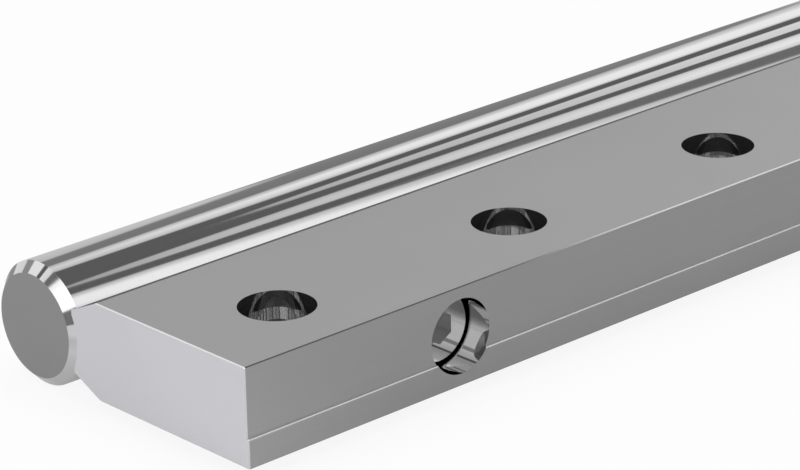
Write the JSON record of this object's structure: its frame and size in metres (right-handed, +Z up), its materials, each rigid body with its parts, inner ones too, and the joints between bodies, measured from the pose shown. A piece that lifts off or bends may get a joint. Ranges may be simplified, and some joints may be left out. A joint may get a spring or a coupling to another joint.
{
  "type": "supported round rail",
  "caption": "Round precision shaft held along its side by a flat rail with bevelled nose, counterbored base holes and sunk side screws",
  "frame": {"origin": "on the base plane, at the middle of the row of base holes", "axes": "+X along the rail away from the end that the picture shows, +Y from the reference edge towards the shaft, +Z up out of the deck"},
  "size_m": [0.6008, 0.0745, 0.025],
  "materials": {
    "rail": "milled, satin",
    "shaft": "ground and polished",
    "screw": "zinc plated, semi-gloss"
  },
  "bodies": {
    "root": {"support_rail": "rail", "shaft": "shaft", "shaft_screw_1": "screw", "shaft_screw_2": "screw", "shaft_screw_3": "screw", "shaft_screw_4": "screw", "shaft_screw_5": "screw"}
  },
  "joints": []
}
